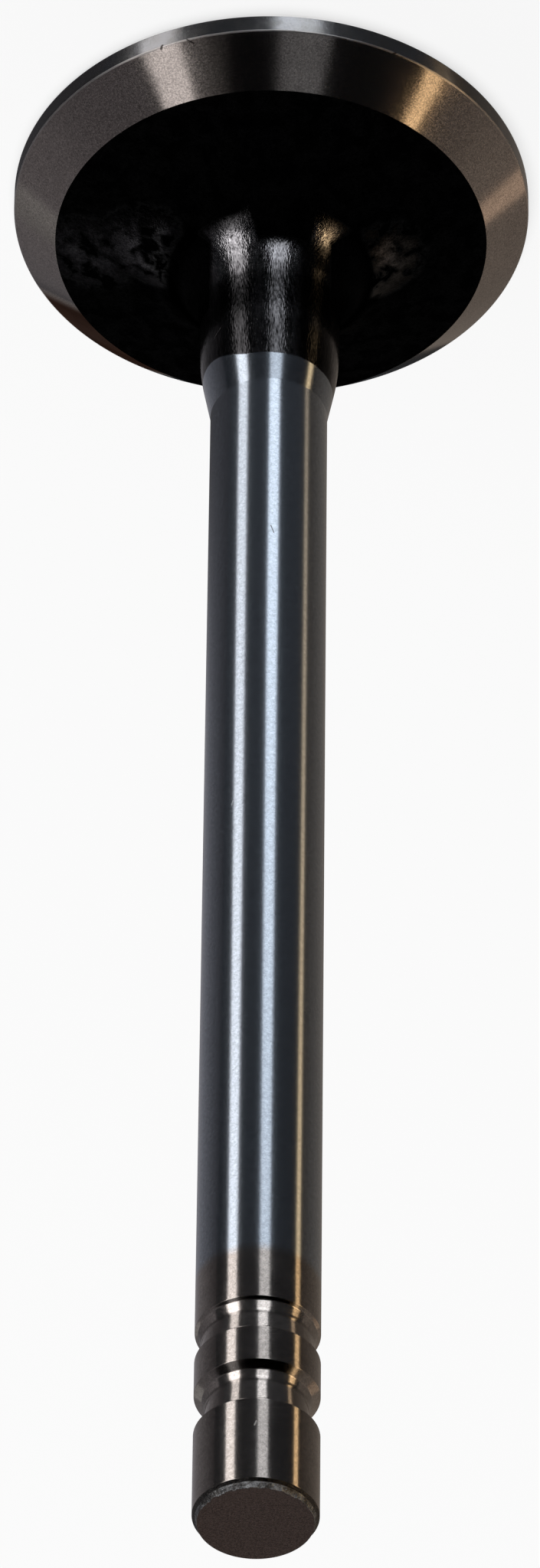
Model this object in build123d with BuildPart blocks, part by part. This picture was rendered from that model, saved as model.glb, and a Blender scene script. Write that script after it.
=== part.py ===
from build123d import *
import os
from math import cos, radians, sin, tan

# Exhaust valve of a piston engine: a poppet valve forged and turned in one piece.
# Millimetres. The valve stands on its combustion face at z = 0, with the stem up +Z.
# All heights on the head are measured up from the combustion face, and all places near
# the tip are measured down from the tip face, as on a valve maker's drawing.

# Stem
overall_length = 126.0        # combustion face to tip face
stem_diameter = 8.68          # ground to 11/32 in less the guide's running clearance
tip_chamfer_length = 0.62     # along the stem
tip_chamfer_depth = 0.34      # radially, a steep lead for the guide and the seal

# Ring grooves. Both have sloping flanks, and a floor that falls from the lower flank and
# rises gently to the upper one.
tip_land = 7.36               # tip face to the keeper groove
keeper_groove_width = 3.42    # takes the bead of the two split keepers
keeper_groove_depth = 0.80
groove_land = 2.83            # stem left between the two grooves
seal_groove_width = 2.64      # takes the small oil seal ring
seal_groove_depth = 0.50
groove_flank_angle = 52.0     # from the stem's axis
keeper_flank_share = 0.7      # share of the depth at which the lower flank ends
seal_flank_share = 0.45
groove_floor_fall = 20.0      # from the stem's axis
groove_floor_rise = 4.0
groove_foot_radius = 0.15     # fillet between flank and floor
groove_floor_radius = 1.0     # fillet where the floor turns

# Head
head_diameter = 38.95
face_break = 0.25             # edge break round the combustion face
margin_height = 1.72          # cylindrical rim, the face break included
seat_angle = 45.0             # from the plane of the combustion face
seat_width = 3.18             # radial width of the ground seat

# Underhead and neck
underhead_angle = 17.5        # from the plane of the combustion face
throat_radius = 6.7           # concave fillet between underhead and neck
blend_angle = 5.0             # half angle at which the throat runs out into the neck
blend_radius = 30.0           # long concave fillet of that run-out
neck_allowance = 0.86         # the neck stands this much proud of the ground stem
neck_land = 1.0               # plain length of the neck above the run-out
taper_angle = 10.2            # half angle of the short taper up to the stem
shoulder_radius = 20.0        # convex fillet between neck and taper

stem_radius = stem_diameter / 2
head_radius = head_diameter / 2
neck_radius = stem_radius + neck_allowance
seat_inner_radius = head_radius - seat_width
seat_top = margin_height + seat_width * tan(radians(seat_angle))

# Sharp corners of underhead and run-out, and of run-out and neck, before their fillets
# round them. The run-out is just long enough for both fillets.
throat_tangent = throat_radius * tan(radians(90 - blend_angle - underhead_angle) / 2)
blend_tangent = blend_radius * tan(radians(blend_angle) / 2)
blend_length = throat_tangent + blend_tangent + 0.1
throat_corner_radius = neck_radius + blend_length * sin(radians(blend_angle))
throat_corner = seat_top + (seat_inner_radius - throat_corner_radius) * tan(radians(underhead_angle))
blend_corner = throat_corner + blend_length * cos(radians(blend_angle))

# Sharp corner of neck and taper, before the shoulder fillet rounds it. A large shoulder
# radius is held to the taper's own length, so that the taper still meets the stem.
taper_length = neck_allowance / tan(radians(taper_angle))
shoulder_limit = 0.95 * taper_length / cos(radians(taper_angle)) / tan(radians(taper_angle) / 2)
shoulder_fillet = min(shoulder_radius, shoulder_limit)
shoulder_tangent = shoulder_fillet * tan(radians(taper_angle) / 2)
shoulder_corner = blend_corner + blend_tangent + neck_land + shoulder_tangent
stem_start = shoulder_corner + taper_length

os.makedirs("parts", exist_ok=True)


def groove_corners(top, width, depth, flank_share):
    """Corners of a ring groove: its lower edge, lower foot, deepest point, upper foot and
    upper edge."""
    steep = tan(radians(groove_flank_angle))
    fall = tan(radians(groove_floor_fall))
    rise = tan(radians(groove_floor_rise))
    lower_depth = flank_share * depth
    lower_foot = top - width + lower_depth / steep
    deepest = lower_foot + (depth - lower_depth) / fall
    upper_foot = (top * steep - depth - deepest * rise) / (steep - rise)
    upper_depth = (top - upper_foot) * steep
    return [
        (stem_radius, top - width),
        (stem_radius - lower_depth, lower_foot),
        (stem_radius - depth, deepest),
        (stem_radius - upper_depth, upper_foot),
        (stem_radius, top),
    ]


keeper_groove_top = overall_length - tip_land
seal_groove_top = keeper_groove_top - keeper_groove_width - groove_land
keeper_groove = groove_corners(
    keeper_groove_top, keeper_groove_width, keeper_groove_depth, keeper_flank_share
)
seal_groove = groove_corners(seal_groove_top, seal_groove_width, seal_groove_depth, seal_flank_share)

# Corners of the half section that are rounded, each with its radius
rounded_corners = [
    ((throat_corner_radius, throat_corner), throat_radius),
    ((neck_radius, blend_corner), blend_radius),
    ((neck_radius, shoulder_corner), shoulder_fillet),
]
for lower_edge, lower_foot, deepest, upper_foot, upper_edge in (seal_groove, keeper_groove):
    rounded_corners.append((lower_foot, groove_foot_radius))
    rounded_corners.append((deepest, groove_floor_radius))
    rounded_corners.append((upper_foot, groove_foot_radius))

with BuildPart() as valve:
    with BuildSketch(Plane.XZ) as half_section:
        with BuildLine():
            Polyline(
                (0, 0),
                (head_radius - face_break, 0),
                (head_radius, face_break),
                (head_radius, margin_height),
                (seat_inner_radius, seat_top),
                (throat_corner_radius, throat_corner),
                (neck_radius, blend_corner),
                (neck_radius, shoulder_corner),
                (stem_radius, stem_start),
                *seal_groove,
                *keeper_groove,
                (stem_radius, overall_length - tip_chamfer_length),
                (stem_radius - tip_chamfer_depth, overall_length),
                (0, overall_length),
                close=True,
            )
        make_face()
        for place, radius in rounded_corners:
            fillet(half_section.vertices().sort_by_distance(place)[0], radius=radius)
    revolve(axis=Axis.Z)

valve.part.label = "valve"
export_step(valve.part, "parts/valve.step")
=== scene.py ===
from math import acos, atan2, ceil, cos, pi, radians, sin, tan

import bpy
from mathutils import Matrix, Vector


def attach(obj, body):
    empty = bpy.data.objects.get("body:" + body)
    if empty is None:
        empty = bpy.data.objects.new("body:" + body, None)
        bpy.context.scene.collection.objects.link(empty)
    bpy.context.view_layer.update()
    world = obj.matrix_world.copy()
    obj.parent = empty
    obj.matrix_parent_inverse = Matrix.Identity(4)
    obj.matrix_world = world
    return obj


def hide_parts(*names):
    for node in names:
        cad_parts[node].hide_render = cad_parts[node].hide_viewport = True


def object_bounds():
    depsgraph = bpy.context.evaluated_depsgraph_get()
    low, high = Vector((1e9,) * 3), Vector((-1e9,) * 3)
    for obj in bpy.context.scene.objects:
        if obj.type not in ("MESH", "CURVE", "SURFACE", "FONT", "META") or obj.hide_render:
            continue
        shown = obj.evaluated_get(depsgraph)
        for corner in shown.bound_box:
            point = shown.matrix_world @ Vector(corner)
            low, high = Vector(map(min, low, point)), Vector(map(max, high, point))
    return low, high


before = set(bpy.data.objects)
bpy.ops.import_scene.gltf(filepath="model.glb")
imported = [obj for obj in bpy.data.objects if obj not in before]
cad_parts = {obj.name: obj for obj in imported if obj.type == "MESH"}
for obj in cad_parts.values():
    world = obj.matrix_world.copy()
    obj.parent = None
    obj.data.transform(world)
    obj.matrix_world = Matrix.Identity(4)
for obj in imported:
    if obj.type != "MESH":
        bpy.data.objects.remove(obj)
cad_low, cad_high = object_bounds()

MM = 0.001

# The valve's own sizes, in metres. Heights are measured up from the combustion face.
TIP_HEIGHT = cad_high.z
HEAD_RADIUS = (cad_high.x - cad_low.x) / 2
STEM_RADIUS = 4.34 * MM
TIP_CHAMFER_LENGTH = 0.62 * MM
TIP_CHAMFER_DEPTH = 0.34 * MM
TIP_LAND = 7.36 * MM
KEEPER_GROOVE_WIDTH = 3.42 * MM
KEEPER_GROOVE_DEPTH = 0.80 * MM
GROOVE_LAND = 2.83 * MM
SEAL_GROOVE_WIDTH = 2.64 * MM
SEAL_GROOVE_DEPTH = 0.50 * MM
GROOVE_FLANK_ANGLE = radians(52)            # from the stem's axis, as the next two are
GROOVE_FLOOR_FALL = radians(20)
GROOVE_FLOOR_RISE = radians(4)
KEEPER_FLANK_SHARE = 0.7                    # share of the depth at which the lower flank ends
SEAL_FLANK_SHARE = 0.45
GROOVE_FOOT_RADIUS = 0.15 * MM
GROOVE_FLOOR_RADIUS = 1.0 * MM
FACE_BREAK = 0.25 * MM
MARGIN_HEIGHT = 1.72 * MM
SEAT_ANGLE = radians(45)
SEAT_WIDTH = 3.18 * MM
UNDERHEAD_ANGLE = radians(17.5)
THROAT_RADIUS = 6.7 * MM
BLEND_ANGLE = radians(5)
BLEND_RADIUS = 30.0 * MM
FILLET_GAP = 0.1 * MM                       # plain length between throat and run-out fillets
NECK_ALLOWANCE = 0.86 * MM                  # the neck stands this much proud of the stem
NECK_LAND = 1.0 * MM
TAPER_ANGLE = radians(10.2)
SHOULDER_RADIUS = 20.0 * MM

# Fine roundings of the edges, and the lip that is turned over the tip's chamfer
EDGE_ROUNDING = 0.05 * MM
MARGIN_ROUNDING = 0.08 * MM
TAPER_ROUNDING = 0.4 * MM
CHAMFER_ROUNDING = 0.04 * MM
TIP_ROUNDING = 0.06 * MM
LIP_DEPTH = 0.25 * MM
LIP_LENGTH = 0.44 * MM

# Corners of the half section, worked out from the sizes
NECK_RADIUS = STEM_RADIUS + NECK_ALLOWANCE
SEAT_TOP = MARGIN_HEIGHT + SEAT_WIDTH * tan(SEAT_ANGLE)
SEAT_INNER = HEAD_RADIUS - SEAT_WIDTH
THROAT_TANGENT = THROAT_RADIUS * tan((pi / 2 - BLEND_ANGLE - UNDERHEAD_ANGLE) / 2)
BLEND_TANGENT = BLEND_RADIUS * tan(BLEND_ANGLE / 2)
BLEND_LENGTH = THROAT_TANGENT + BLEND_TANGENT + FILLET_GAP
THROAT_CORNER_RADIUS = NECK_RADIUS + BLEND_LENGTH * sin(BLEND_ANGLE)
THROAT_CORNER = SEAT_TOP + (SEAT_INNER - THROAT_CORNER_RADIUS) * tan(UNDERHEAD_ANGLE)
BLEND_CORNER = THROAT_CORNER + BLEND_LENGTH * cos(BLEND_ANGLE)
SHOULDER_TANGENT = SHOULDER_RADIUS * tan(TAPER_ANGLE / 2)
SHOULDER_CORNER = BLEND_CORNER + BLEND_TANGENT + NECK_LAND + SHOULDER_TANGENT
STEM_START = SHOULDER_CORNER + NECK_ALLOWANCE / tan(TAPER_ANGLE)
TIP_FACE_RADIUS = STEM_RADIUS - TIP_CHAMFER_DEPTH

# Where the finish changes: dark skin, then plating, then bare steel by the tip
PLATING_LOW = 20.7 * MM
BARE_LENGTH = 20.5 * MM
PLATING_HIGH = TIP_HEIGHT - BARE_LENGTH

# Finishes of the turned zones, in the order in which the outline meets them
ZONES = ["combustion_face", "margin", "seat", "body", "tip"]


# ---------------------------------------------------------------- outline

def corner(radius, height, rounding=0.0, steps=4, zone=None, ragged=0.0):
    """One corner of the turned outline, rounded in so many steps. zone names the finish from
    here on, and ragged is the share of the full depth of a bruise that the corner takes."""
    place = Vector((radius, height))
    return {"at": place, "rounding": rounding, "steps": steps, "zone": zone, "ragged": ragged}


def groove(top, width, depth, flank_share):
    """Corners of a ring groove, from its lower edge up: a steep flank, a floor that falls and
    rises again, and a steep flank."""
    steep, fall, rise = tan(GROOVE_FLANK_ANGLE), tan(GROOVE_FLOOR_FALL), tan(GROOVE_FLOOR_RISE)
    lower_depth = flank_share * depth
    lower_foot = top - width + lower_depth / steep
    deepest = lower_foot + (depth - lower_depth) / fall
    upper_foot = (top * steep - depth - deepest * rise) / (steep - rise)
    upper_depth = (top - upper_foot) * steep
    return [
        corner(STEM_RADIUS, top - width, EDGE_ROUNDING, 3),
        corner(STEM_RADIUS - lower_depth, lower_foot, GROOVE_FOOT_RADIUS, 5),
        corner(STEM_RADIUS - depth, deepest, GROOVE_FLOOR_RADIUS, 8),
        corner(STEM_RADIUS - upper_depth, upper_foot, GROOVE_FOOT_RADIUS, 5),
        corner(STEM_RADIUS, top, EDGE_ROUNDING, 3),
    ]


def rounded(before, here, after, radius, steps):
    """Points of the fillet arc that replaces the corner here."""
    a, b = (before - here).normalized(), (after - here).normalized()
    opening = acos(max(-1.0, min(1.0, a.dot(b))))
    reach = radius / tan(opening / 2)
    centre = here + (a + b).normalized() * (radius / sin(opening / 2))
    start, end = here + a * reach - centre, here + b * reach - centre
    turn = atan2(start.x * end.y - start.y * end.x, start.dot(end))
    points = []
    for step in range(steps + 1):
        angle = turn * step / steps
        points.append(centre + Matrix.Rotation(angle, 2) @ start)
    return points


def outline_rows(corners, longest=1.2 * MM, guard=0.05 * MM):
    """(radius, height, zone, ragged) of every ring of the lathe. Straight runs are divided evenly,
    with a guard ring close to each of their ends, which keeps the edges crisp."""
    runs = []
    zone = ZONES[0]
    for index, here in enumerate(corners):
        old_zone, zone = zone, here["zone"] or zone
        points = [here["at"]]
        if here["rounding"]:
            before, after = corners[index - 1]["at"], corners[index + 1]["at"]
            points = rounded(before, here["at"], after, here["rounding"], here["steps"])
        if runs and (points[0] - runs[-1][0]).length > 4 * guard:
            last = runs[-1][0]
            gap = points[0] - last
            inner = gap.length - 2 * guard
            parts = ceil(inner / longest)
            bruises = [corners[index - 1]["ragged"], *[0.0] * (parts - 1), here["ragged"]]
            for part, bruise in enumerate(bruises):
                along = guard + inner * part / parts
                runs.append((last + gap.normalized() * along, old_zone, bruise))
        for place, point in enumerate(points):
            beyond = place >= len(points) // 2
            runs.append((point, zone if beyond else old_zone, here["ragged"]))
    return [(point.x, point.y, ZONES.index(name), ragged) for point, name, ragged in runs]


def valve_corners():
    """The valve's half section, from the middle of the combustion face up to the tip."""
    keeper_top = TIP_HEIGHT - TIP_LAND
    seal_top = keeper_top - KEEPER_GROOVE_WIDTH - GROOVE_LAND
    turned_over = Vector((STEM_RADIUS - LIP_DEPTH, TIP_HEIGHT - LIP_LENGTH))
    bruised = (turned_over + Vector((TIP_FACE_RADIUS, TIP_HEIGHT))) / 2
    return [
        corner(0, 0),
        corner(HEAD_RADIUS - FACE_BREAK, 0, EDGE_ROUNDING),
        corner(HEAD_RADIUS, FACE_BREAK, EDGE_ROUNDING, zone="margin"),
        corner(HEAD_RADIUS, MARGIN_HEIGHT, MARGIN_ROUNDING, zone="seat", ragged=0.1),
        corner(SEAT_INNER, SEAT_TOP, EDGE_ROUNDING, zone="body"),
        corner(THROAT_CORNER_RADIUS, THROAT_CORNER, THROAT_RADIUS, 32),
        corner(NECK_RADIUS, BLEND_CORNER, BLEND_RADIUS, 8),
        corner(NECK_RADIUS, SHOULDER_CORNER, SHOULDER_RADIUS, 10),
        corner(STEM_RADIUS, STEM_START, TAPER_ROUNDING, 3),
        *groove(seal_top, SEAL_GROOVE_WIDTH, SEAL_GROOVE_DEPTH, SEAL_FLANK_SHARE),
        *groove(keeper_top, KEEPER_GROOVE_WIDTH, KEEPER_GROOVE_DEPTH, KEEPER_FLANK_SHARE),
        corner(STEM_RADIUS, TIP_HEIGHT - TIP_CHAMFER_LENGTH, CHAMFER_ROUNDING, 3, zone="tip"),
        corner(*turned_over, CHAMFER_ROUNDING, 3),
        corner(*bruised, ragged=1.0),
        corner(TIP_FACE_RADIUS, TIP_HEIGHT, TIP_ROUNDING, ragged=1.0),
        corner(0, TIP_HEIGHT),
    ]


# ---------------------------------------------------------------- node helpers

def feed(tree, socket, value):
    """Gives an input its value, or links it where the value is another node's socket."""
    if isinstance(value, bpy.types.NodeSocket):
        tree.links.new(value, socket)
    else:
        socket.default_value = value


def add(tree, kind, inputs=None, **settings):
    """A node with its settings and its inputs."""
    node = tree.nodes.new(kind)
    for name, value in settings.items():
        setattr(node, name, value)
    for name, value in (inputs or {}).items():
        feed(tree, node.inputs[name], value)
    return node


def maths(tree, operation, first, second=0.0, third=0.0):
    """The result of one Math node."""
    return add(tree, "ShaderNodeMath", {0: first, 1: second, 2: third}, operation=operation).outputs[0]


def product(tree, first, *others):
    """All the values multiplied."""
    total = first
    for value in others:
        total = maths(tree, "MULTIPLY", total, value)
    return total


def vectors(tree, operation, first, second=(0, 0, 0), result=0):
    """One result of a Vector Math node."""
    return add(tree, "ShaderNodeVectorMath", {0: first, 1: second}, operation=operation).outputs[result]


def scaled(tree, vector, factor):
    """A vector made longer or shorter by a factor, or a colour made lighter or darker."""
    inputs = {0: vector, "Scale": factor}
    return add(tree, "ShaderNodeVectorMath", inputs, operation="SCALE").outputs[0]


def flattened(tree, place):
    """The place brought down to height 0, beside the valve's axis."""
    return vectors(tree, "MULTIPLY", place, (1, 1, 0))


def axes_of(tree, place):
    """The X, Y and Z of a place."""
    return add(tree, "ShaderNodeSeparateXYZ", {0: place}).outputs


def between(tree, value, low, high, to_low=0.0, to_high=1.0):
    """The value eased from one range into another."""
    inputs = {"Value": value, "From Min": low, "From Max": high, "To Min": to_low, "To Max": to_high}
    return add(tree, "ShaderNodeMapRange", inputs, interpolation_type="SMOOTHSTEP").outputs[0]


def mixed(tree, share, first, second):
    """The first value turning into the second as the share rises."""
    return add(tree, "ShaderNodeMix", {0: share, 2: first, 3: second}).outputs[0]


def opaque(color):
    """A plain colour with its alpha. A node's socket stays as it is."""
    return color if isinstance(color, bpy.types.NodeSocket) else (*color, 1)


def blend(tree, share, first, second):
    """The first colour turning into the second as the share rises."""
    inputs = {0: share, 6: opaque(first), 7: opaque(second)}
    return add(tree, "ShaderNodeMix", inputs, data_type="RGBA").outputs[2]


def scale_of(tree, size):
    """The scale at which a pattern's spots have a size."""
    return maths(tree, "DIVIDE", 1.0, size)


def noise(tree, place, scale, detail, **more):
    """Uneven values round NOISE_MIDDLE, with any more inputs that the noise is given."""
    inputs = {"Vector": place, "Scale": scale, "Detail": detail, **more}
    return add(tree, "ShaderNodeTexNoise", inputs).outputs[0]


def effect(name, inputs, output):
    """A new shader group with its named inputs and one named output, and its input sockets by
    name. An input is a vector where it has no value of its own."""
    tree = bpy.data.node_groups.new(name, "ShaderNodeTree")
    for title, value in inputs.items():
        kind = "NodeSocketVector" if value is None else "NodeSocketFloat"
        socket = tree.interface.new_socket(title, in_out="INPUT", socket_type=kind)
        if value is not None:
            socket.default_value = value
    tree.interface.new_socket(output, in_out="OUTPUT", socket_type="NodeSocketFloat")
    return tree, add(tree, "NodeGroupInput").outputs


def apply(tree, group, **inputs):
    """The result of an effect in a material."""
    node = add(tree, "ShaderNodeGroup", node_tree=group)
    for name, value in inputs.items():
        feed(tree, node.inputs[name], value)
    return node.outputs[0]


# ---------------------------------------------------------------- effects

NOISE_MIDDLE = 0.5
NOISE_SWING = 4.0                           # takes a noise round its middle to about -1 to 1
GRAIN_FINER = 2.7                           # the finer noise of a grain against its coarse one
GRAIN_COARSE_WEIGHT = 1.2


def grain_effect():
    """Even speckle round zero, from a fine and a finer noise."""
    tree, given = effect("grain", {"Vector": None, "Size": 0.2 * MM, "Stretch": 1.0}, "Grain")
    squeeze = add(tree, "ShaderNodeCombineXYZ", {"X": 1.0, "Y": 1.0, "Z": given["Stretch"]}).outputs[0]
    place = vectors(tree, "MULTIPLY", given["Vector"], squeeze)
    scale = scale_of(tree, given["Size"])
    coarse = noise(tree, place, scale, 1.0)
    fine = noise(tree, place, maths(tree, "MULTIPLY", scale, GRAIN_FINER), 0.0)
    total = maths(tree, "ADD", maths(tree, "MULTIPLY", coarse, GRAIN_COARSE_WEIGHT), fine)
    middle = (GRAIN_COARSE_WEIGHT + 1) * NOISE_MIDDLE
    add(tree, "NodeGroupOutput", {"Grain": maths(tree, "SUBTRACT", total, middle)})
    return tree


def mottle_effect():
    """Soft blotches from 0 to 1."""
    tree, given = effect("mottle", {"Vector": None, "Size": 2.0 * MM, "Contrast": 0.3}, "Mottle")
    blotches = noise(tree, given["Vector"], scale_of(tree, given["Size"]), 4.0, Distortion=0.4)
    low = maths(tree, "SUBTRACT", NOISE_MIDDLE, given["Contrast"])
    high = maths(tree, "ADD", NOISE_MIDDLE, given["Contrast"])
    add(tree, "NodeGroupOutput", {"Mottle": between(tree, blotches, low, high)})
    return tree


def ragged_step_effect():
    """0 below an edge and 1 above it, where the edge wanders with the surface."""
    inputs = {
        "Vector": None, "Value": 0.0, "Edge": 0.0, "Softness": 0.1 * MM, "Wander": 0.1 * MM,
        "Size": 1.0 * MM,
    }
    tree, given = effect("ragged_step", inputs, "Step")
    uneven = noise(tree, given["Vector"], scale_of(tree, given["Size"]), 4.0, Roughness=0.6)
    swing = maths(tree, "MULTIPLY", maths(tree, "SUBTRACT", uneven, NOISE_MIDDLE), NOISE_SWING)
    value = maths(tree, "MULTIPLY_ADD", swing, given["Wander"], given["Value"])
    low = maths(tree, "SUBTRACT", given["Edge"], given["Softness"])
    high = maths(tree, "ADD", given["Edge"], given["Softness"])
    add(tree, "NodeGroupOutput", {"Step": between(tree, value, low, high)})
    return tree


def tool_lines_effect():
    """Fine parallel lines of uneven depth along a value, such as a height or a radius."""
    tree, given = effect("tool_lines", {"Value": 0.0, "Pitch": 0.1 * MM}, "Lines")
    along = maths(tree, "DIVIDE", given["Value"], given["Pitch"])
    inputs = {"W": along, "Scale": 1.0, "Detail": 2.0}
    lines = add(tree, "ShaderNodeTexNoise", inputs, noise_dimensions="1D").outputs[0]
    add(tree, "NodeGroupOutput", {"Lines": maths(tree, "SUBTRACT", lines, NOISE_MIDDLE)})
    return tree


def scratch_effect():
    """1 along one straight scratch between two points, 0 away from it."""
    inputs = {"Vector": None, "Start": None, "End": None, "Width": 0.05 * MM}
    tree, given = effect("scratch", inputs, "Mark")
    offset = vectors(tree, "SUBTRACT", given["Vector"], given["Start"])
    line = vectors(tree, "SUBTRACT", given["End"], given["Start"])
    length = vectors(tree, "DOT_PRODUCT", line, line, "Value")
    share = maths(tree, "DIVIDE", vectors(tree, "DOT_PRODUCT", offset, line, "Value"), length)
    share = add(tree, "ShaderNodeClamp", {"Value": share}).outputs[0]
    away = vectors(tree, "DISTANCE", offset, scaled(tree, line, share), "Value")
    half = maths(tree, "MULTIPLY", given["Width"], 0.5)
    add(tree, "NodeGroupOutput", {"Mark": between(tree, away, half, given["Width"], 1.0, 0.0)})
    return tree


GRAIN = grain_effect()
MOTTLE = mottle_effect()
RAGGED_STEP = ragged_step_effect()
TOOL_LINES = tool_lines_effect()
SCRATCH = scratch_effect()


# ---------------------------------------------------------------- materials

# Colours
STEEL_WARM = (0.47, 0.43, 0.40)
STEEL_SEAT = (0.43, 0.385, 0.36)
STEEL_MARGIN = (0.33, 0.33, 0.34)
STEEL_MARGIN_DULL = (0.29, 0.285, 0.28)
STEEL_FACE = (0.33, 0.31, 0.29)
STEEL_FACE_DULL = (0.26, 0.24, 0.22)
# worn edges, also painted brighter as a highlight
SEAT_WEAR_AND_HIGHLIGHT = (0.52, 0.49, 0.48)
MARGIN_WEAR_AND_HIGHLIGHT = (0.52, 0.50, 0.49)
NICKED = (0.08, 0.07, 0.065)
SCRATCHED = (0.42, 0.40, 0.39)
HEATED_DARK = (0.016, 0.0075, 0.005)
HEATED_LIGHT = (0.026, 0.013, 0.009)
PLATING = (0.49, 0.545, 0.615)
DARK_SKIN = (0.115, 0.113, 0.118)
TIP_BROWN = (0.030, 0.0215, 0.019)
RIM_BRIGHT = (0.40, 0.41, 0.42)
RIM_DULL = (0.14, 0.135, 0.13)
# painted shade under the lip that is turned over the tip's chamfer
LIP_SHADE = (0.10, 0.095, 0.09)

# Roughness, where two values are those of the smoothest blotches and of the roughest
SEAT_ROUGHNESS = (0.12, 0.15)
MARGIN_ROUGHNESS = (0.16, 0.21)
WORN_ROUGHNESS = 0.4
FACE_ROUGHNESS = 0.34
DARK_ROUGHNESS = (0.15, 0.18)
PLATING_ROUGHNESS = 0.165
BARE_ROUGHNESS = (0.135, 0.155)
SCRATCH_ROUGHNESS = 0.55
TIP_ROUGHNESS = 0.8
RIM_ROUGHNESS = 0.42
LIP_ROUGHNESS = 0.2

# The edge between margin and seat is worn, and painted brighter as a highlight, from a little below it
# to a little above
WEAR_AND_HIGHLIGHT_BELOW = (MARGIN_HEIGHT - 0.10 * MM, MARGIN_HEIGHT - 0.05 * MM)
WEAR_AND_HIGHLIGHT_ABOVE = (MARGIN_HEIGHT + 0.05 * MM, MARGIN_HEIGHT + 0.11 * MM)

# Heat has tinted the seat on one side. The tint rises as a place turns towards that side, and
# what is tinted is no longer bright metal.
HEATED_SIDE = (0.72, 0.69, 0.0)
HEATED_SPREAD = (0.905, 0.965)
HEATED_DULL = (0.5, 0.98)
HEATED_METALLIC = 0.04

# Soot covers the underhead and the foot of the neck. The shares are those of the skin's
# brightness that it leaves, and the other pairs are where a change starts and where it is
# complete. The left is +X, as the camera shows the valve.
SOOT_SHARE = (0.002, 0.005)
SOOT_TOP = (8.0 * MM, 9.2 * MM)
SOOT_DULL = (0.0, 0.04)
TONGUE_RISE = 1.9 * MM                      # it runs further up the neck in front
TONGUE_MIDDLE = -0.9 * MM
TONGUE_SIDE = (2.6 * MM, 1.7 * MM)
LEFT_RISE = 0.35 * MM                       # and a little further up at the left
LEFT_RISE_SIDE = (1.0 * MM, 3.0 * MM)
BESIDE_SHARE = 0.005                        # painted shade also darkens both sides of the neck's foot
BESIDE_ACROSS = (4.0 * MM, 4.6 * MM)
BESIDE_BOTTOM = (7.2 * MM, 8.2 * MM)
BESIDE_TOP = (15.5 * MM, 14.0 * MM)
BESIDE_DEEP = (-5.6 * MM, -4.6 * MM)

# Places where the soot is rubbed thin, and the share of the skin's brightness left there
RUBBED_REACH = 4.4 * MM
RUBBED_PATCHES = [
    (Vector((9.0, -1.9, 7.0)) * MM, 0.75),
    (Vector((-8.0, -1.0, 7.6)) * MM, 0.5),
    (Vector((14.0, 0.4, 5.6)) * MM, 0.3),
]

# Painted shade darkens the skin at the left and at the right of the neck, for the shade it mirrors
# there
LEFT_SHADE_EDGE = 1.3 * MM
LEFT_SHADE_BOTTOM = (11.4 * MM, 14.5 * MM)
LEFT_SHADE_SHARE = (0.26, 0.4)
LEFT_SHADE_CHANGE = (15.0 * MM, 18.0 * MM)
RIGHT_SHADE_EDGE = -2.2 * MM
RIGHT_SHADE_SIDE = (-4.75 * MM, -4.45 * MM)
RIGHT_SHADE_BOTTOM = (9.1 * MM, 10.2 * MM)
RIGHT_SHADE_SHARE = 0.12

# The skin is brighter on the neck's foot, and the plating reaches further down at the left
BRIGHT_SKIN = 1.8
BRIGHT_SKIN_TOP = (13.6 * MM, 12.2 * MM)
PLATING_DROP = 1.15 * MM
PLATING_DROP_SIDE = (1.2 * MM, 5.0 * MM)
PLATING_SLANT = (0.02, 0.0, 1.0)            # its upper end is a little out of square

# The bruises of the tip's rim, and the edge of the painted shade on the lip that is turned over its
# chamfer
BRUISED_RIM = (TIP_HEIGHT - 0.04 * MM, TIP_HEIGHT - 0.01 * MM)
LIP_EDGE = STEM_RADIUS - 0.24 * MM


def on_surface(height, radius, degrees):
    """A point of the surface. Its height and radius are in millimetres, and its angle is
    measured from the front towards +X."""
    turn = radians(degrees)
    radius = radius * MM
    return Vector((radius * sin(turn), -radius * cos(turn), height * MM))


def scratch(start, end, width):
    """A scratch or a nick from point to point. Each point is a height, a radius and an angle."""
    return on_surface(*start), on_surface(*end), width * MM


EDGE_NICKS = [
    scratch((1.60, 19.48, 25.1), (1.85, 19.38, 25.5), 0.12),
    scratch((1.70, 19.47, 19.3), (2.00, 19.20, 17.9), 0.07),
    scratch((1.66, 19.48, -28.0), (1.80, 19.42, -27.4), 0.09),
]
NECK_AND_STEM_MARKS = [
    scratch((18.10, 5.21, 58.0), (17.08, 5.24, 43.0), 0.05),
    scratch((11.95, 5.55, 7.8), (12.20, 5.51, 6.6), 0.03),
    scratch((11.75, 5.60, -20.8), (12.00, 5.55, -19.6), 0.03),
    scratch((17.50, 5.22, 11.5), (17.70, 5.20, 10.5), 0.06),
    scratch((37.90, 4.34, -3.2), (38.60, 4.34, -6.2), 0.05),
    scratch((64.25, 4.34, 31.0), (64.60, 4.34, 32.2), 0.06),
    scratch((120.60, 4.34, 0.4), (120.95, 4.34, 2.0), 0.06),
]


def new_material(name):
    """A material with its tree and its shader."""
    material = bpy.data.materials.new(name)
    material.use_nodes = True
    tree = material.node_tree
    return material, tree, tree.nodes["Principled BSDF"]


def own_place(tree):
    """The object's own coordinates."""
    return add(tree, "ShaderNodeTexCoord").outputs["Object"]


def radius_of(tree, place):
    """The distance of a place from the valve's axis."""
    return vectors(tree, "LENGTH", flattened(tree, place), result="Value")


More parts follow.
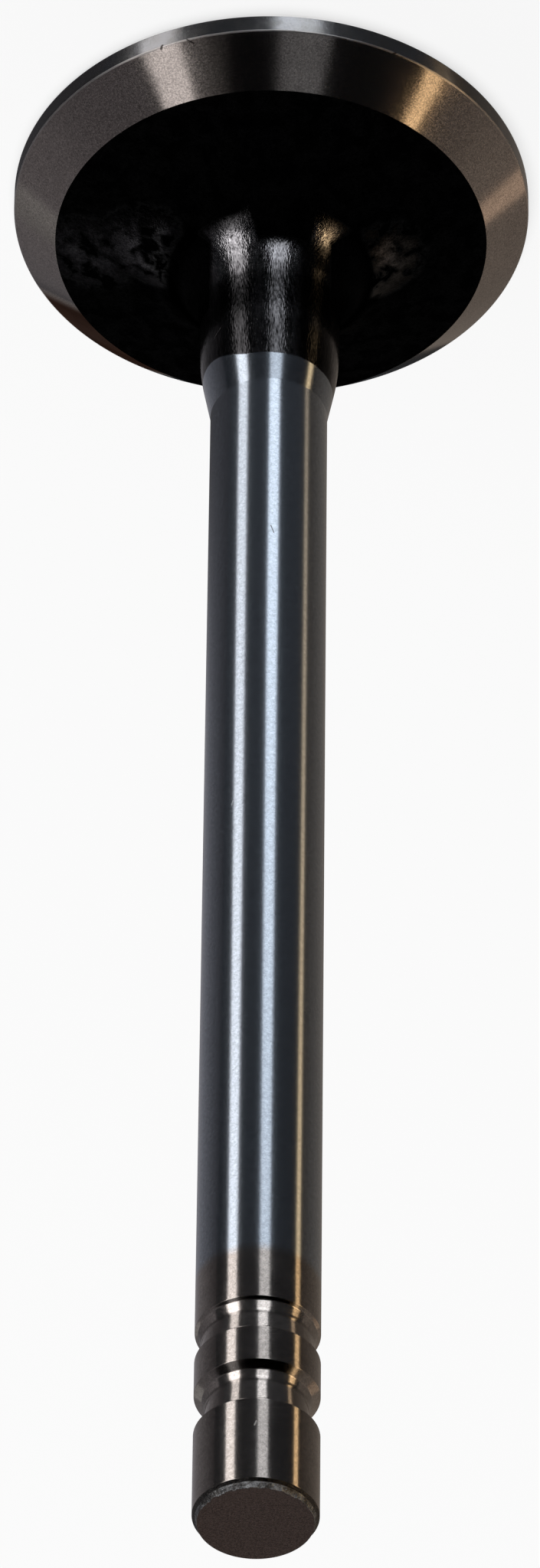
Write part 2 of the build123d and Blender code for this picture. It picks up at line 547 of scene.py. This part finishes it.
def set_shader(tree, shader, color, roughness, bumps, depth, metallic=1.0):
    """Feeds a finish to the shader. The bumps stand out by their value times depth."""
    normal = add(tree, "ShaderNodeBump", {"Height": bumps, "Distance": depth}).outputs[0]
    feeds = {"Base Color": color, "Roughness": roughness, "Metallic": metallic, "Normal": normal}
    for name, value in feeds.items():
        feed(tree, shader.inputs[name], value)


def varied(tree, base, pattern, weight):
    """The base value with a share of a pattern added."""
    return maths(tree, "MULTIPLY_ADD", pattern, weight, base)


def marked(tree, place, marks):
    """1 wherever one of the marks lies."""
    total = 0.0
    for start, end, width in marks:
        mark = apply(tree, SCRATCH, Vector=place, Start=start, End=end, Width=width)
        total = maths(tree, "MAXIMUM", total, mark)
    return total


def seat_material():
    """The ground seat: warm bare steel with a fine uneven grain, and a worn edge painted brighter as a
    highlight.
    """
    material, tree, shader = new_material("ground_seat")
    place = own_place(tree)
    grain = apply(tree, GRAIN, Vector=place, Size=0.13 * MM)
    peel = apply(tree, MOTTLE, Vector=place, Size=0.45 * MM, Contrast=0.2)
    mottle = apply(tree, MOTTLE, Vector=place, Size=2.5 * MM, Contrast=0.25)
    wear_and_highlight = between(tree, axes_of(tree, place)["Z"], *WEAR_AND_HIGHLIGHT_ABOVE, 1.0, 0.0)
    wear_and_highlight = maths(tree, "MULTIPLY", wear_and_highlight, mixed(tree, mottle, 0.5, 1.0))
    outward = vectors(tree, "NORMALIZE", flattened(tree, place))
    towards_heat = vectors(tree, "DOT_PRODUCT", outward, HEATED_SIDE, "Value")
    heated = between(tree, towards_heat, *HEATED_SPREAD)

    shade = varied(tree, mixed(tree, mottle, 1.03, 0.95), grain, 1.1)
    ground = scaled(tree, STEEL_SEAT, varied(tree, shade, peel, -0.07))
    color = blend(tree, heated, ground, blend(tree, mottle, HEATED_DARK, HEATED_LIGHT))
    color = blend(tree, wear_and_highlight, color, SEAT_WEAR_AND_HIGHLIGHT)
    color = blend(tree, marked(tree, place, EDGE_NICKS), color, NICKED)
    roughness = varied(tree, mixed(tree, mottle, *SEAT_ROUGHNESS), grain, 0.04)
    roughness = mixed(tree, wear_and_highlight, roughness, WORN_ROUGHNESS)
    bright = between(tree, heated, *HEATED_DULL, 1.0, HEATED_METALLIC)
    bumps = maths(tree, "ADD", peel, grain)
    set_shader(tree, shader, color, roughness, bumps, 0.0003 * MM, bright)
    shader.inputs["Specular IOR Level"].default_value = 0.0
    return material


def margin_material():
    """The turned rim of the head, with faint lines round it and a worn edge painted brighter as a
    highlight.
    """
    material, tree, shader = new_material("turned_margin")
    place = own_place(tree)
    height = axes_of(tree, place)["Z"]
    lines = apply(tree, TOOL_LINES, Value=height, Pitch=0.12 * MM)
    grain = apply(tree, GRAIN, Vector=place, Size=0.2 * MM)
    mottle = apply(tree, MOTTLE, Vector=place, Size=1.5 * MM, Contrast=0.2)
    wear_and_highlight = between(tree, height, *WEAR_AND_HIGHLIGHT_BELOW)
    color = blend(tree, mottle, STEEL_MARGIN, STEEL_MARGIN_DULL)
    color = blend(tree, wear_and_highlight, color, MARGIN_WEAR_AND_HIGHLIGHT)
    color = blend(tree, marked(tree, place, EDGE_NICKS), color, NICKED)
    roughness = varied(tree, mixed(tree, mottle, *MARGIN_ROUGHNESS), grain, 0.10)
    roughness = mixed(tree, wear_and_highlight, roughness, WORN_ROUGHNESS)
    set_shader(tree, shader, color, roughness, maths(tree, "ADD", lines, grain), 0.0008 * MM)
    return material


def combustion_face_material():
    """The plain flat face, turned in fine rings."""
    material, tree, shader = new_material("turned_face")
    place = own_place(tree)
    rings = apply(tree, TOOL_LINES, Value=radius_of(tree, place), Pitch=0.25 * MM)
    mottle = apply(tree, MOTTLE, Vector=place, Size=6 * MM, Contrast=0.3)
    grain = apply(tree, GRAIN, Vector=place, Size=0.2 * MM)
    color = blend(tree, mottle, STEEL_FACE, STEEL_FACE_DULL)
    roughness = varied(tree, FACE_ROUGHNESS, grain, 0.1)
    set_shader(tree, shader, color, roughness, varied(tree, rings, grain, 0.4), 0.01 * MM)
    return material


def left_of(tree, place, edge):
    """1 on the left of an edge that runs up the neck, 0 on the right of it."""
    return apply(
        tree, RAGGED_STEP, Vector=place, Value=axes_of(tree, place)["X"], Edge=edge,
        Softness=0.35 * MM, Wander=0.12 * MM, Size=1.0 * MM,
    )


def soot_and_shade_left(tree, place, blotch):
    """The share of the skin's brightness that the soot and the painted shade on both sides of the
    neck's foot leave.
    """
    across, deep, height = axes_of(tree, place)
    share = mixed(tree, blotch, *SOOT_SHARE)
    for patch, clean in RUBBED_PATCHES:
        away = vectors(tree, "DISTANCE", place, patch, "Value")
        rubbed = between(tree, away, 0.0, RUBBED_REACH, 1.0, 0.0)
        share = mixed(tree, maths(tree, "MULTIPLY", rubbed, blotch), share, clean)
    off_tongue = maths(tree, "ABSOLUTE", maths(tree, "SUBTRACT", across, TONGUE_MIDDLE))
    rise = between(tree, off_tongue, *TONGUE_SIDE, 0.0, TONGUE_RISE)
    rise = maths(tree, "ADD", rise, between(tree, across, *LEFT_RISE_SIDE, 0.0, LEFT_RISE))
    share = between(tree, maths(tree, "SUBTRACT", height, rise), *SOOT_TOP, share, 1.0)
    # Painted shade on both sides of the neck's foot
    beside = product(
        tree,
        between(tree, maths(tree, "ABSOLUTE", across), *BESIDE_ACROSS),
        between(tree, height, *BESIDE_TOP),
        between(tree, height, *BESIDE_BOTTOM),
        between(tree, deep, *BESIDE_DEEP),
    )
    return maths(tree, "MULTIPLY", share, mixed(tree, beside, 1.0, BESIDE_SHARE))


def painted_side_shade(tree, place):
    """The share of the skin's brightness that the painted shade at the left and right of the neck
    leaves.
    """
    axes = axes_of(tree, place)
    left = left_of(tree, place, LEFT_SHADE_EDGE)
    left = maths(tree, "MULTIPLY", left, between(tree, axes["Z"], *LEFT_SHADE_BOTTOM))
    left_share = between(tree, axes["Z"], *LEFT_SHADE_CHANGE, *LEFT_SHADE_SHARE)
    right = product(
        tree,
        maths(tree, "SUBTRACT", 1.0, left_of(tree, place, RIGHT_SHADE_EDGE)),
        between(tree, axes["X"], *RIGHT_SHADE_SIDE),
        between(tree, axes["Z"], *RIGHT_SHADE_BOTTOM),
    )
    return product(tree, mixed(tree, left, 1.0, left_share), mixed(tree, right, 1.0, RIGHT_SHADE_SHARE))


def plating_masks(tree, place):
    """1 above the plating's lower end, and 1 above its upper end, where the steel is bare."""
    axes = axes_of(tree, place)
    drop = between(tree, axes["X"], *PLATING_DROP_SIDE, 0.0, PLATING_DROP)
    plated = apply(
        tree, RAGGED_STEP, Vector=place, Value=maths(tree, "ADD", axes["Z"], drop), Edge=PLATING_LOW,
        Softness=0.06 * MM, Wander=0.05 * MM, Size=2.0 * MM,
    )
    slanted = vectors(tree, "DOT_PRODUCT", place, PLATING_SLANT, "Value")
    bare = apply(
        tree, RAGGED_STEP, Vector=place, Value=slanted, Edge=PLATING_HIGH,
        Softness=0.55 * MM, Wander=0.15 * MM, Size=2.5 * MM,
    )
    return plated, bare


def body_material():
    """Dark skin under the head and on the neck, then plating, then bare steel by the tip."""
    material, tree, shader = new_material("dark_and_plated")
    place = own_place(tree)
    plated, bare = plating_masks(tree, place)
    grain = apply(tree, GRAIN, Vector=place, Size=0.15 * MM)
    speckle = apply(tree, GRAIN, Vector=place, Size=0.26 * MM)
    strokes = apply(tree, GRAIN, Vector=place, Size=0.24 * MM, Stretch=0.22)
    mottle = apply(tree, MOTTLE, Vector=place, Size=2.2 * MM, Contrast=0.25)
    blotch = apply(tree, MOTTLE, Vector=place, Size=1.3 * MM, Contrast=0.12)
    mark = marked(tree, place, NECK_AND_STEM_MARKS)
    # Soot, and painted shade at the sides of the neck and of its foot
    soot_and_shade = product(tree, soot_and_shade_left(tree, place, blotch), painted_side_shade(tree, place))

    skin = varied(tree, mixed(tree, mottle, 0.85, 1.1), strokes, 1.6)
    lift = between(tree, axes_of(tree, place)["Z"], *BRIGHT_SKIN_TOP, 1.0, BRIGHT_SKIN)
    dark = scaled(tree, DARK_SKIN, product(tree, skin, lift, soot_and_shade))
    plating = scaled(tree, PLATING, varied(tree, 1.0, speckle, 0.3))
    steel = scaled(tree, STEEL_WARM, varied(tree, mixed(tree, mottle, 0.92, 1.06), speckle, 0.4))
    color = blend(tree, bare, blend(tree, plated, dark, plating), steel)
    color = blend(tree, maths(tree, "MULTIPLY", mark, 0.4), color, SCRATCHED)

    dark_roughness = varied(tree, mixed(tree, mottle, *DARK_ROUGHNESS), grain, 0.12)
    plating_roughness = varied(tree, PLATING_ROUGHNESS, grain, 0.04)
    bare_roughness = varied(tree, mixed(tree, mottle, *BARE_ROUGHNESS), grain, 0.06)
    roughness = mixed(tree, plated, dark_roughness, plating_roughness)
    roughness = mixed(tree, bare, roughness, bare_roughness)
    roughness = mixed(tree, mark, roughness, SCRATCH_ROUGHNESS)

    dark_bumps = maths(tree, "MULTIPLY", strokes, 5.0)
    plating_bumps = maths(tree, "MULTIPLY", speckle, 0.13)
    bare_bumps = maths(tree, "MULTIPLY", grain, 0.08)
    bumps = mixed(tree, bare, mixed(tree, plated, dark_bumps, plating_bumps), bare_bumps)
    bright = maths(tree, "MAXIMUM", between(tree, soot_and_shade, *SOOT_DULL), plated)
    set_shader(tree, shader, color, roughness, bumps, 0.002 * MM, bright)
    shader.inputs["Specular IOR Level"].default_value = 0.0
    return material


def tip_material():
    """The dull brown end face, its bruised, brighter rim, and painted shade on the lip turned over its
    chamfer.
    """
    material, tree, shader = new_material("tip_end")
    place = own_place(tree)
    bruised = between(tree, axes_of(tree, place)["Z"], *BRUISED_RIM, 1.0, 0.0)
    turned_over = apply(
        tree, RAGGED_STEP, Vector=place, Value=radius_of(tree, place), Edge=LIP_EDGE,
        Softness=0.02 * MM, Wander=0.02 * MM, Size=0.7 * MM,
    )
    grain = apply(tree, GRAIN, Vector=place, Size=0.13 * MM)
    patches = apply(tree, MOTTLE, Vector=place, Size=0.7 * MM, Contrast=0.12)
    face = scaled(tree, TIP_BROWN, varied(tree, 1.0, grain, 1.4))
    rim = blend(tree, patches, RIM_BRIGHT, RIM_DULL)
    rim = scaled(tree, rim, varied(tree, 1.0, grain, 1.2))
    color = blend(tree, bruised, face, rim)
    # Painted shade: the lip turned over the chamfer is coloured dark for the shadow in its gap
    color = blend(tree, turned_over, color, LIP_SHADE)
    roughness = mixed(tree, bruised, TIP_ROUGHNESS, varied(tree, RIM_ROUGHNESS, grain, 0.3))
    roughness = mixed(tree, turned_over, roughness, LIP_ROUGHNESS)
    bumps = product(tree, varied(tree, grain, patches, 0.6), mixed(tree, bruised, 0.3, 1.5))
    set_shader(tree, shader, color, roughness, bumps, 0.02 * MM, bruised)
    return material


finishes = {
    "combustion_face": combustion_face_material(),
    "margin": margin_material(),
    "seat": seat_material(),
    "body": body_material(),
    "tip": tip_material(),
}


# ---------------------------------------------------------------- lathe

SEGMENTS = 320
MERGE_DISTANCE = 0.001 * MM                 # closes the seam and the two poles

# Bruises of the edges that the outline calls ragged. They are on the valve's front only.
RAGGED_DEPTH = 0.18 * MM
RAGGED_SIZE = 0.5 * MM
RAGGED_NOISE = (0.35, 0.7)                  # the noise at which a bruise starts and is deepest
RAGGED_FRONT = (-0.2, -0.6)                 # the outward Y at which they start and are full


def named(tree, title, kind):
    """An attribute of the mesh by its name."""
    return add(tree, "GeometryNodeInputNamedAttribute", {"Name": title}, data_type=kind).outputs[0]


def sampled(tree, outline, kind, value, per_row):
    """The outline's value at the row that an element of the grid belongs to."""
    index = add(tree, "GeometryNodeInputIndex").outputs[0]
    row = maths(tree, "FLOOR", maths(tree, "DIVIDE", index, per_row))
    inputs = {"Geometry": outline, "Value": value, "Index": row}
    return add(tree, "GeometryNodeSampleIndex", inputs, data_type=kind).outputs[0]


def outward_of(tree, columns, segments):
    """The direction away from the axis at a point of the grid, turned so that faces point out."""
    index = add(tree, "GeometryNodeInputIndex").outputs[0]
    column = maths(tree, "MODULO", maths(tree, "MODULO", index, columns), segments)
    angle = maths(tree, "MULTIPLY", maths(tree, "DIVIDE", column, segments), -2 * pi)
    across = {"X": maths(tree, "COSINE", angle), "Y": maths(tree, "SINE", angle)}
    return add(tree, "ShaderNodeCombineXYZ", across).outputs[0]


def bruise_at(tree, place, outward, ragged, given):
    """How far a bruise pushes a place of a ragged edge inwards."""
    scale = scale_of(tree, given["Ragged Size"])
    depth = noise(tree, place, scale, 3.0, Roughness=0.65)
    depth = between(tree, depth, *RAGGED_NOISE, 0.0, given["Ragged Depth"])
    in_front = between(tree, axes_of(tree, outward)["Y"], *RAGGED_FRONT)
    return product(tree, depth, in_front, ragged)


def lathe_tree():
    """Geometry Nodes that turn an outline round Z and give each zone its own finish."""
    tree = bpy.data.node_groups.new("turned_valve", "GeometryNodeTree")
    inputs = {"Outline": "Object", "Segments": "Int", "Ragged Depth": "Float", "Ragged Size": "Float"}
    for title, kind in inputs.items():
        tree.interface.new_socket(title, in_out="INPUT", socket_type="NodeSocket" + kind)
    tree.interface.new_socket("Mesh", in_out="OUTPUT", socket_type="NodeSocketGeometry")
    given = add(tree, "NodeGroupInput").outputs
    segments = given["Segments"]
    outline = add(tree, "GeometryNodeObjectInfo", {"Object": given["Outline"]}).outputs["Geometry"]
    size = add(tree, "GeometryNodeAttributeDomainSize", {"Geometry": outline}, component="MESH")
    rows = size.outputs["Point Count"]
    columns = maths(tree, "ADD", segments, 1)
    grid = {"Size X": 1.0, "Size Y": 1.0, "Vertices X": rows, "Vertices Y": columns}
    mesh = add(tree, "GeometryNodeMeshGrid", grid).outputs["Mesh"]

    position = add(tree, "GeometryNodeInputPosition").outputs[0]
    ring = axes_of(tree, sampled(tree, outline, "FLOAT_VECTOR", position, columns))
    ragged = sampled(tree, outline, "FLOAT", named(tree, "ragged", "FLOAT"), columns)
    outward = outward_of(tree, columns, segments)
    height = add(tree, "ShaderNodeCombineXYZ", {"Z": ring["Z"]}).outputs[0]
    place = vectors(tree, "ADD", scaled(tree, outward, ring["X"]), height)
    bruise = bruise_at(tree, place, outward, ragged, given)
    place = vectors(tree, "SUBTRACT", place, scaled(tree, outward, bruise))
    mesh = add(tree, "GeometryNodeSetPosition", {"Geometry": mesh, "Position": place}).outputs[0]

    zone = named(tree, "zone", "INT")
    stored = {
        "Geometry": mesh, "Name": "zone", "Value": sampled(tree, outline, "INT", zone, segments),
    }
    mesh = add(
        tree, "GeometryNodeStoreNamedAttribute", stored, data_type="INT", domain="FACE",
    ).outputs[0]
    merged = {"Geometry": mesh, "Distance": MERGE_DISTANCE}
    mesh = add(tree, "GeometryNodeMergeByDistance", merged).outputs[0]
    mesh = add(tree, "GeometryNodeSetShadeSmooth", {"Geometry": mesh}).outputs[0]
    mesh = add(tree, "GeometryNodeRealizeInstances", {"Geometry": mesh}).outputs[0]
    for number, name in enumerate(ZONES):
        same = {2: zone, 3: number}
        here = add(tree, "FunctionNodeCompare", same, data_type="INT", operation="EQUAL").outputs[0]
        finish = {"Geometry": mesh, "Selection": here, "Material": finishes[name]}
        mesh = add(tree, "GeometryNodeSetMaterial", finish).outputs[0]
    add(tree, "NodeGroupOutput", {"Mesh": mesh})
    return tree


def in_scene(name, data):
    """A new object of the scene."""
    piece = bpy.data.objects.new(name, data)
    bpy.context.scene.collection.objects.link(piece)
    return piece


def outline_object(rows):
    """The lathe's outline as a mesh of points, each with the finish of the ring above it."""
    mesh = bpy.data.meshes.new("valve_outline")
    mesh.from_pydata([(radius, 0, height) for radius, height, zone, ragged in rows], [], [])
    zones = mesh.attributes.new("zone", "INT", "POINT")
    zones.data.foreach_set("value", [zone for radius, height, zone, ragged in rows])
    bruises = mesh.attributes.new("ragged", "FLOAT", "POINT")
    bruises.data.foreach_set("value", [ragged for radius, height, zone, ragged in rows])
    return in_scene("valve_outline", mesh)


def turn_valve():
    """The whole valve as one turned mesh."""
    outline = outline_object(outline_rows(valve_corners()))
    blank = in_scene("blank", bpy.data.meshes.new("blank"))
    lathe = blank.modifiers.new("lathe", "NODES")
    lathe.node_group = lathe_tree()
    sockets = {item.name: item.identifier for item in lathe.node_group.interface.items_tree}
    lathe[sockets["Outline"]] = outline
    lathe[sockets["Segments"]] = SEGMENTS
    lathe[sockets["Ragged Depth"]] = RAGGED_DEPTH
    lathe[sockets["Ragged Size"]] = RAGGED_SIZE
    bpy.context.view_layer.update()
    turned = blank.evaluated_get(bpy.context.evaluated_depsgraph_get())
    mesh = bpy.data.meshes.new_from_object(turned)
    mesh.name = "turned_valve"
    mesh.materials.pop(index=0)             # the blank's own empty slot
    for used_up in (blank, outline):
        bpy.data.objects.remove(used_up)
    return in_scene("turned_valve", mesh)


# ---------------------------------------------------------------- stage

CAMERA_PLACE = Vector((0, -0.5391, 0.5365))
CAMERA_AIM = Vector((-0.0004, 0, 0.0593))
CAMERA_ROLL = radians(-179.345)
CAMERA_LENS = 229.75
CAMERA_REACH = 20                           # the furthest that it shows, in metres


def place_camera():
    """The camera looks down past the tip, turned over so that the head is at the top."""
    data = bpy.data.cameras.new("camera")
    data.lens = CAMERA_LENS
    data.clip_end = CAMERA_REACH
    camera = in_scene("camera", data)
    level = (CAMERA_AIM - CAMERA_PLACE).to_track_quat("-Z", "Y").to_matrix().to_4x4()
    roll = Matrix.Rotation(CAMERA_ROLL, 4, "Z")
    camera.matrix_world = Matrix.Translation(CAMERA_PLACE) @ level @ roll
    bpy.context.scene.camera = camera


def stage_mesh(name, points, faces, material):
    """A piece of the stage, which isn't part of the valve."""
    mesh = bpy.data.meshes.new(name)
    mesh.from_pydata(points, [], faces)
    mesh.materials.append(material)
    piece = in_scene(name, mesh)
    return piece


# The cards of light stand round the valve on circles of these radii, in metres
STRIP_CIRCLE = 1.5
BACK_CIRCLE = 1.7
WALL_CIRCLE = 1.9
ROOM_CIRCLE = 2.1
SEEN_FROM = 0.06                            # height on the valve that elevations start from

WHITE = (1.0, 0.975, 0.97)
WHITE_COOL = (0.94, 0.98, 1.03)
WHITE_PLAIN = (1.0, 1.0, 1.0)
AMBER = (1.0, 0.70, 0.38)
AMBER_PALE = (1.0, 0.77, 0.54)
AMBER_BACK = (1.0, 0.76, 0.57)
WALL_LILAC = (1.0, 0.96, 1.02)
WALL_WARM = (1.08, 0.93, 0.80)
ROOM_COOL = (0.94, 0.99, 1.08)


def light_card(name, color, stations, circle, columns=8):
    """A standing card of light round the valve, which only a polished surface mirrors. Each
    station is an elevation seen from the valve, the azimuths of the card's two edges, measured
    from the camera's side towards +X, and the strength at each edge."""
    material, tree, shader = new_material(name)
    tree.nodes.remove(shader)
    strength = add(tree, "ShaderNodeAttribute", attribute_name="strength").outputs["Fac"]
    glow = {"Color": opaque(color), "Strength": strength}
    shine = add(tree, "ShaderNodeEmission", glow).outputs[0]
    tree.links.new(shine, tree.nodes["Material Output"].inputs["Surface"])
    material.cycles.emission_sampling = "NONE"
    points, faces, strengths = [], [], []
    for row, (elevation, first, last, first_strength, last_strength) in enumerate(stations):
        for column in range(columns + 1):
            share = column / columns
            turn = radians(first + (last - first) * share)
            height = circle * tan(radians(elevation)) + SEEN_FROM
            points.append((circle * sin(turn), -circle * cos(turn), height))
            strengths.append(first_strength + (last_strength - first_strength) * share)
            if row and column:
                end = len(points) - 1
                faces.append((end - 1, end, end - columns - 1, end - columns - 2))
    card = stage_mesh(name, points, faces, material)
    card.data.attributes.new("strength", "FLOAT", "POINT").data.foreach_set("value", strengths)
    for ray in ("camera", "diffuse", "shadow", "transmission", "volume_scatter"):
        setattr(card, "visible_" + ray, False)


def strip(elevation, azimuth, width, strength):
    """A station of an evenly bright card."""
    return elevation, azimuth - width / 2, azimuth + width / 2, strength, strength


LEFT_STRIP = [
    strip(-80, 57, 18, 1.3), strip(-55, 54, 18, 1.3), strip(-45, 53, 18.5, 1.35),
    strip(-40.5, 50, 19, 1.5), strip(-36.5, 49, 17, 1.85), strip(-32, 47, 16, 1.6),
    strip(-24, 46, 18, 1.8), strip(-16, 45, 18, 1.4), strip(-8, 45, 20, 2.6),
    strip(13, 45, 24, 3.0), strip(21, 47, 18, 0.8), strip(33, 48, 15, 1.2),
    strip(43, 48, 15, 1.2), strip(49, 54, 18, 0.5), strip(60, 62, 26, 0.2),
    strip(66, 64, 26, 0.0),
]
FRONT_STRIP = [
    strip(-80, -11, 22, 2.0), strip(-55, -11, 21, 1.9), strip(-44.5, -11, 20, 1.65),
    strip(-42, -11, 20, 1.7), strip(-38.5, -11, 18, 0.95), strip(-36.5, -11, 18, 0.95),
    strip(-33, -11, 18, 1.0), strip(-25, -11, 19, 0.85), strip(-20, -11, 20, 1.6),
    strip(-12, -10, 21, 1.9), strip(-5, -10, 22, 2.3), strip(3.5, -10, 22, 2.4),
    strip(6, -10, 22, 0.02), strip(32, -12, 22, 0.04), strip(37, -14, 22, 0.22),
    strip(44, -14, 22, 0.16), strip(50, -14, 22, 0.0),
]
RIGHT_LOW = [
    strip(-80, -80, 11, 0.1), strip(-46.5, -80, 11, 0.1), strip(-45, -80.5, 8, 0.45),
    strip(-43, -80.5, 8, 0.65), strip(-40.2, -80, 8, 0.8),
]
RIGHT_STRIP = [
    strip(-40.2, -79.5, 8, 0.9), strip(-36.5, -76, 9, 1.5), strip(-34, -75, 9, 1.2),
    strip(-31, -74, 8, 1.2), strip(-24, -73, 8, 1.5), strip(-21, -73, 9, 0.15),
    strip(-5, -72, 11, 0.15), strip(-2.5, -71, 12, 1.9), strip(7, -70, 12, 2.4),
    strip(9, -69.5, 11, 3.3), strip(24, -69.5, 10, 3.6), strip(28, -69.5, 8, 2.2),
    strip(32, -71, 7, 1.5), strip(40, -78, 7, 1.1), strip(43, -82, 7, 1.4),
    strip(48, -85, 7, 1.7), strip(53, -89, 10, 0.4), strip(57, -92, 10, 0.0),
]
RIGHT_BACK = [
    strip(-2, -122, 7, 0.2), strip(3, -122, 8, 0.65), strip(10, -122, 8, 0.6),
    strip(20, -124, 16, 0.4), strip(34, -126, 18, 0.2), strip(44, -128, 18, 0.0),
]
LEFT_GLOW = [
    (30, 22, 41, 0.0, 0.0), (35, 22, 41, 0.02, 0.17), (45, 22, 41, 0.02, 0.17),
    (50, 22, 41, 0.0, 0.0),
]
LEFT_BACK = [
    strip(-4, 134, 18, 0.18), strip(8, 134, 18, 0.32), strip(34, 134, 18, 0.3),
    strip(44, 134, 18, 0.0),
]
LEFT_WALL = [
    (-80, 82, 170, 0.045, 0.05), (-43.4, 82, 170, 0.045, 0.05), (-42, 82, 170, 0.04, 0.28),
    (-34, 82, 170, 0.045, 0.26), (-24, 82, 170, 0.04, 0.13), (-8, 82, 170, 0.16, 0.18),
    (14, 75, 170, 0.14, 0.18), (22, 62, 170, 0.09, 0.18), (43, 58, 170, 0.09, 0.15),
    (47, 58, 170, 0.0, 0.0),
]
RIGHT_WALL = [
    (-80, -170, -88, 0.18, 0.05), (-22, -170, -88, 0.18, 0.05), (-8, -170, -88, 0.20, 0.14),
    (14, -170, -86, 0.20, 0.18), (22, -170, -77, 0.20, 0.11), (43, -170, -75, 0.18, 0.10),
    (47, -170, -75, 0.0, 0.0),
]
ROOM = [
    (-80, -180, 180, 0.045, 0.045), (-41, -180, 180, 0.045, 0.045), (-39, -180, 180, 0.022, 0.022),
    (-25, -180, 180, 0.022, 0.022), (-5, -180, 180, 0.03, 0.03), (15, -180, 180, 0.025, 0.025),
    (35, -180, 180, 0.008, 0.008), (48, -180, 180, 0.0, 0.0),
]

FLOOR_REACH = 6.0
FLOOR_PAINT = (0.9, 0.9, 0.9)
FLOOR_ROUGHNESS = 0.9
FLOOR_GLOW = 0.7                            # share of plain white that the camera sees in it
ROOM_SEEN = (0.95, 0.95, 0.95)              # what the camera sees past the floor
ROOM_DARK = (0.0, 0.0, 0.0)
LAMP_PLACE = (0.3, 0.4, 2.0)
LAMP_SIZE = 2.0
LAMP_POWER = 50                             # watts


def stand_cards():
    """All the cards of light."""
    light_card("left_strip", WHITE, LEFT_STRIP, STRIP_CIRCLE)
    light_card("front_strip", WHITE_COOL, FRONT_STRIP, STRIP_CIRCLE)
    light_card("right_strip", AMBER, RIGHT_STRIP, STRIP_CIRCLE)
    light_card("right_low", AMBER_PALE, RIGHT_LOW, STRIP_CIRCLE)
    light_card("left_back", WHITE_PLAIN, LEFT_BACK, BACK_CIRCLE)
    light_card("right_back", AMBER_BACK, RIGHT_BACK, BACK_CIRCLE)
    light_card("left_glow", WHITE, LEFT_GLOW, BACK_CIRCLE)
    light_card("left_wall", WALL_LILAC, LEFT_WALL, WALL_CIRCLE)
    light_card("right_wall", WALL_WARM, RIGHT_WALL, WALL_CIRCLE)
    light_card("room", ROOM_COOL, ROOM, ROOM_CIRCLE, columns=48)


def camera_ray(tree):
    """1 where the camera looks straight at it, 0 in mirror images and in scattered light."""
    return add(tree, "ShaderNodeLightPath").outputs["Is Camera Ray"]


def floor_material():
    """White matt floor that keeps a soft shadow, see-through from below."""
    material, tree, shader = new_material("floor_paint")
    shader.inputs["Base Color"].default_value = opaque(FLOOR_PAINT)
    shader.inputs["Roughness"].default_value = FLOOR_ROUGHNESS
    shader.inputs["Specular IOR Level"].default_value = 0.0
    white = add(tree, "ShaderNodeEmission", {"Strength": 1.0}).outputs[0]
    share = maths(tree, "MULTIPLY", camera_ray(tree), FLOOR_GLOW)
    paint = add(tree, "ShaderNodeMixShader", {0: share, 1: shader.outputs[0], 2: white}).outputs[0]
    below = add(tree, "ShaderNodeNewGeometry").outputs["Backfacing"]
    clear = add(tree, "ShaderNodeBsdfTransparent").outputs[0]
    either = add(tree, "ShaderNodeMixShader", {0: below, 1: paint, 2: clear}).outputs[0]
    tree.links.new(either, tree.nodes["Material Output"].inputs["Surface"])
    return material


def lay_floor():
    """The floor, which no polished surface mirrors."""
    reach = FLOOR_REACH
    corners = [(-reach, -reach, 0), (reach, -reach, 0), (reach, reach, 0), (-reach, reach, 0)]
    floor = stage_mesh("floor", corners, [(0, 1, 2, 3)], floor_material())
    floor.visible_glossy = False


def hang_lamp():
    """One soft lamp overhead, for the floor and the matt places."""
    lamp = bpy.data.lights.new("soft_overhead", "AREA")
    lamp.shape = "DISK"
    lamp.size = LAMP_SIZE
    lamp.energy = LAMP_POWER
    overhead = in_scene("soft_overhead", lamp)
    overhead.location = LAMP_PLACE
    overhead.visible_glossy = False
    overhead.visible_camera = False


def set_world():
    """A world that the camera sees as pale, and that gives no light."""
    world = bpy.data.worlds.new("pale_room")
    world.use_nodes = True
    tree = world.node_tree
    color = blend(tree, camera_ray(tree), ROOM_DARK, ROOM_SEEN)
    tree.links.new(color, tree.nodes["Background"].inputs["Color"])
    bpy.context.scene.world = world


valve = turn_valve()
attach(valve, "root")
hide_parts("valve")
place_camera()
stand_cards()
lay_floor()
hang_lamp()
set_world()
bpy.context.scene.view_settings.view_transform = "Standard"
